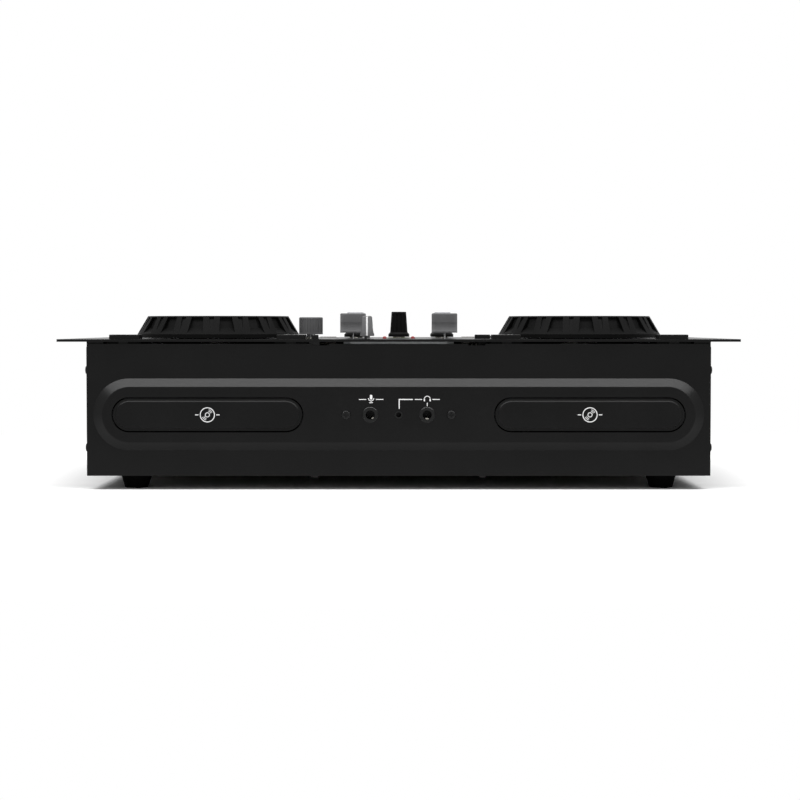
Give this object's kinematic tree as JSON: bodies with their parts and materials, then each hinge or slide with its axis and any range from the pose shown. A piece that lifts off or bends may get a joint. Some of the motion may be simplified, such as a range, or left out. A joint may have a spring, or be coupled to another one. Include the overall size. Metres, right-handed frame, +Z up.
{
  "type": "twin disc player with mixer",
  "caption": "Table-top twin disc player: rack-width top panel with cogged jog wheels, faders and knobs over a case with slide-out disc trays.",
  "frame": {"origin": "on the surface that the feet stand on, under the middle of the object's box", "axes": "+X to the right as the user faces the trays, +Y to the rear, +Z up"},
  "size_m": [0.4826, 0.2828, 0.1264],
  "materials": {
    "powder_coat": "fine textured black powder coat",
    "rubber_feet": "matt",
    "black_screws": "black oxide",
    "circuit_board": "solder-masked laminate",
    "loader_plastic": "moulded",
    "tray_plastic": "moulded, fine grain",
    "door_plastic": "moulded, satin",
    "gear_plastic": "moulded acetal",
    "sled_plastic": "moulded",
    "hub_plastic": "moulded",
    "jog_plastic": "moulded, fine grain",
    "jog_plate": "spun, clear anodised",
    "shaft_steel": "ground",
    "control_body": "pressed",
    "black_knob": "moulded",
    "grey_knob": "moulded",
    "fader_cap": "moulded",
    "button_plastic": "moulded",
    "silicone": "matt silicone",
    "display_module": "tinted window",
    "lamp_red": "tinted",
    "socket_body": "moulded",
    "plated_shell": "nickel plated"
  },
  "bodies": {
    "case": {"chassis_tub": "powder_coat", "front_panel": "powder_coat", "top_panel": "powder_coat", "feet": "rubber_feet", "pan_head_screws": "black_screws", "countersunk_screws": "black_screws", "main_board": "circuit_board", "power_supply": "circuit_board", "fader_tracks": "control_body", "potentiometers": "control_body", "button_switches": "control_body", "jog_bearings": "gear_plastic", "displays": "display_module", "keypads": "silicone", "indicator_lights": "lamp_red", "usb_sockets": "plated_shell", "front_sockets": "socket_body", "rca_sockets": "socket_body", "mains_inlet": "socket_body", "switch_frame": "socket_body", "loader_frame_left": "loader_plastic", "loader_frame_right": "loader_plastic"},
    "disc_tray_left": {"tray_left": "tray_plastic", "tray_door_left": "door_plastic"},
    "tray_pinion_left": {"loading_pinion_left": "gear_plastic"},
    "spindle_left": {"disc_spindle_left": "hub_plastic"},
    "lens_sled_left": {"laser_sled_left": "sled_plastic"},
    "jog_left": {"jog_wheel_left": "jog_plastic", "jog_plate_left": "jog_plate", "jog_spindle_left": "shaft_steel"},
    "disc_tray_right": {"tray_right": "tray_plastic", "tray_door_right": "door_plastic"},
    "tray_pinion_right": {"loading_pinion_right": "gear_plastic"},
    "spindle_right": {"disc_spindle_right": "hub_plastic"},
    "lens_sled_right": {"laser_sled_right": "sled_plastic"},
    "jog_right": {"jog_wheel_right": "jog_plastic", "jog_plate_right": "jog_plate", "jog_spindle_right": "shaft_steel"},
    "channel_fader_left_slider": {"channel_fader_left": "fader_cap"},
    "channel_fader_right_slider": {"channel_fader_right": "fader_cap"},
    "crossfader_slider": {"crossfader": "fader_cap"},
    "pitch_fader_left_slider": {"pitch_fader_left": "fader_cap"},
    "pitch_fader_right_slider": {"pitch_fader_right": "fader_cap"},
    "bass_knob_left_body": {"bass_knob_left": "grey_knob"},
    "bass_knob_right_body": {"bass_knob_right": "grey_knob"},
    "treble_knob_left_body": {"treble_knob_left": "grey_knob"},
    "treble_knob_right_body": {"treble_knob_right": "grey_knob"},
    "gain_knob_left_body": {"gain_knob_left": "grey_knob"},
    "gain_knob_right_body": {"gain_knob_right": "grey_knob"},
    "headphone_level_knob_body": {"headphone_level_knob": "black_knob"},
    "headphone_mix_knob_body": {"headphone_mix_knob": "black_knob"},
    "master_level_knob_body": {"master_level_knob": "black_knob"},
    "browse_knob_body": {"browse_knob": "grey_knob"},
    "cue_button_left_cap": {"cue_button_left": "button_plastic"},
    "play_button_left_cap": {"play_button_left": "button_plastic"},
    "cue_button_right_cap": {"cue_button_right": "button_plastic"},
    "play_button_right_cap": {"play_button_right": "button_plastic"},
    "back_button_cap": {"back_button": "button_plastic"},
    "link_button_cap": {"link_button": "button_plastic"},
    "rocker": {"power_rocker": "button_plastic"}
  },
  "joints": [
    {"name": "tray_left_slide", "type": "slide", "parent": "case", "child": "disc_tray_left", "axis": [0, -1, 0], "range_m": [0, 0.134]},
    {"name": "tray_pinion_left_turn", "type": "hinge", "parent": "case", "child": "tray_pinion_left", "pos_m": [-0.17875, -0.11695, 0.0431], "axis": [0, 0, 1], "range_deg": [0, 768.3]},
    {"name": "spindle_left_spin", "type": "hinge", "parent": "case", "child": "spindle_left", "pos_m": [-0.1345, -0.06715, 0.0509], "axis": [0, 0, 1], "continuous": true},
    {"name": "lens_sled_left_slide", "type": "slide", "parent": "case", "child": "lens_sled_left", "axis": [0, 1, 0], "range_m": [0, 0.033]},
    {"name": "jog_left_spin", "type": "hinge", "parent": "case", "child": "jog_left", "pos_m": [-0.1345, -0.05415, 0.1066], "axis": [0, 0, 1], "continuous": true},
    {"name": "tray_right_slide", "type": "slide", "parent": "case", "child": "disc_tray_right", "axis": [0, -1, 0], "range_m": [0, 0.134]},
    {"name": "tray_pinion_right_turn", "type": "hinge", "parent": "case", "child": "tray_pinion_right", "pos_m": [0.09025, -0.11695, 0.0431], "axis": [0, 0, 1], "range_deg": [0, 768.3]},
    {"name": "spindle_right_spin", "type": "hinge", "parent": "case", "child": "spindle_right", "pos_m": [0.1345, -0.06715, 0.0509], "axis": [0, 0, 1], "continuous": true},
    {"name": "lens_sled_right_slide", "type": "slide", "parent": "case", "child": "lens_sled_right", "axis": [0, 1, 0], "range_m": [0, 0.033]},
    {"name": "jog_right_spin", "type": "hinge", "parent": "case", "child": "jog_right", "pos_m": [0.1345, -0.05415, 0.1066], "axis": [0, 0, 1], "continuous": true},
    {"name": "channel_fader_left_slide", "type": "slide", "parent": "case", "child": "channel_fader_left_slider", "axis": [0, 1, 0], "range_m": [-0.024, 0.036]},
    {"name": "channel_fader_right_slide", "type": "slide", "parent": "case", "child": "channel_fader_right_slider", "axis": [0, 1, 0], "range_m": [-0.024, 0.036]},
    {"name": "crossfader_slide", "type": "slide", "parent": "case", "child": "crossfader_slider", "axis": [1, 0, 0], "range_m": [0, 0.045]},
    {"name": "pitch_fader_left_slide", "type": "slide", "parent": "case", "child": "pitch_fader_left_slider", "axis": [0, 1, 0], "range_m": [-0.0375, 0.0375]},
    {"name": "pitch_fader_right_slide", "type": "slide", "parent": "case", "child": "pitch_fader_right_slider", "axis": [0, 1, 0], "range_m": [-0.0375, 0.0375]},
    {"name": "bass_knob_left_turn", "type": "hinge", "parent": "case", "child": "bass_knob_left_body", "pos_m": [-0.0337, -0.00515, 0.106], "axis": [0, 0, 1], "range_deg": [-150, 150]},
    {"name": "bass_knob_right_turn", "type": "hinge", "parent": "case", "child": "bass_knob_right_body", "pos_m": [0.0337, -0.00515, 0.106], "axis": [0, 0, 1], "range_deg": [-150, 150]},
    {"name": "treble_knob_left_turn", "type": "hinge", "parent": "case", "child": "treble_knob_left_body", "pos_m": [-0.0337, 0.02885, 0.106], "axis": [0, 0, 1], "range_deg": [-150, 150]},
    {"name": "treble_knob_right_turn", "type": "hinge", "parent": "case", "child": "treble_knob_right_body", "pos_m": [0.0337, 0.02885, 0.106], "axis": [0, 0, 1], "range_deg": [-150, 150]},
    {"name": "gain_knob_left_turn", "type": "hinge", "parent": "case", "child": "gain_knob_left_body", "pos_m": [-0.0337, 0.06285, 0.106], "axis": [0, 0, 1], "range_deg": [-150, 150]},
    {"name": "gain_knob_right_turn", "type": "hinge", "parent": "case", "child": "gain_knob_right_body", "pos_m": [0.0337, 0.06285, 0.106], "axis": [0, 0, 1], "range_deg": [-150, 150]},
    {"name": "headphone_level_knob_turn", "type": "hinge", "parent": "case", "child": "headphone_level_knob_body", "pos_m": [0, 0.01485, 0.106], "axis": [0, 0, 1], "range_deg": [-150, 150]},
    {"name": "headphone_mix_knob_turn", "type": "hinge", "parent": "case", "child": "headphone_mix_knob_body", "pos_m": [0, 0.04485, 0.106], "axis": [0, 0, 1], "range_deg": [-150, 150]},
    {"name": "master_level_knob_turn", "type": "hinge", "parent": "case", "child": "master_level_knob_body", "pos_m": [0, 0.07485, 0.106], "axis": [0, 0, 1], "range_deg": [-150, 150]},
    {"name": "browse_knob_turn", "type": "hinge", "parent": "case", "child": "browse_knob_body", "pos_m": [-0.0638, -0.09115, 0.106], "axis": [0, 0, 1], "continuous": true},
    {"name": "cue_button_left_press", "type": "slide", "parent": "case", "child": "cue_button_left_cap", "axis": [0, 0, -1], "range_m": [0, 0.0012], "stiffness_N_per_m": 800},
    {"name": "play_button_left_press", "type": "slide", "parent": "case", "child": "play_button_left_cap", "axis": [0, 0, -1], "range_m": [0, 0.0012], "stiffness_N_per_m": 800},
    {"name": "cue_button_right_press", "type": "slide", "parent": "case", "child": "cue_button_right_cap", "axis": [0, 0, -1], "range_m": [0, 0.0012], "stiffness_N_per_m": 800},
    {"name": "play_button_right_press", "type": "slide", "parent": "case", "child": "play_button_right_cap", "axis": [0, 0, -1], "range_m": [0, 0.0012], "stiffness_N_per_m": 800},
    {"name": "back_button_press", "type": "slide", "parent": "case", "child": "back_button_cap", "axis": [0, 0, -1], "range_m": [0, 0.0012], "stiffness_N_per_m": 800},
    {"name": "link_button_press", "type": "slide", "parent": "case", "child": "link_button_cap", "axis": [0, 0, -1], "range_m": [0, 0.0012], "stiffness_N_per_m": 800},
    {"name": "power_rocker_tilt", "type": "hinge", "parent": "case", "child": "rocker", "pos_m": [0.125, 0.12565, 0.0595], "axis": [0, 0, 1], "range_deg": [0, 16]}
  ],
  "couplings": [
    {"joint": "tray_pinion_left_turn", "follows": "tray_left_slide", "rad_per_m": 100},
    {"joint": "tray_pinion_right_turn", "follows": "tray_right_slide", "rad_per_m": 100}
  ]
}
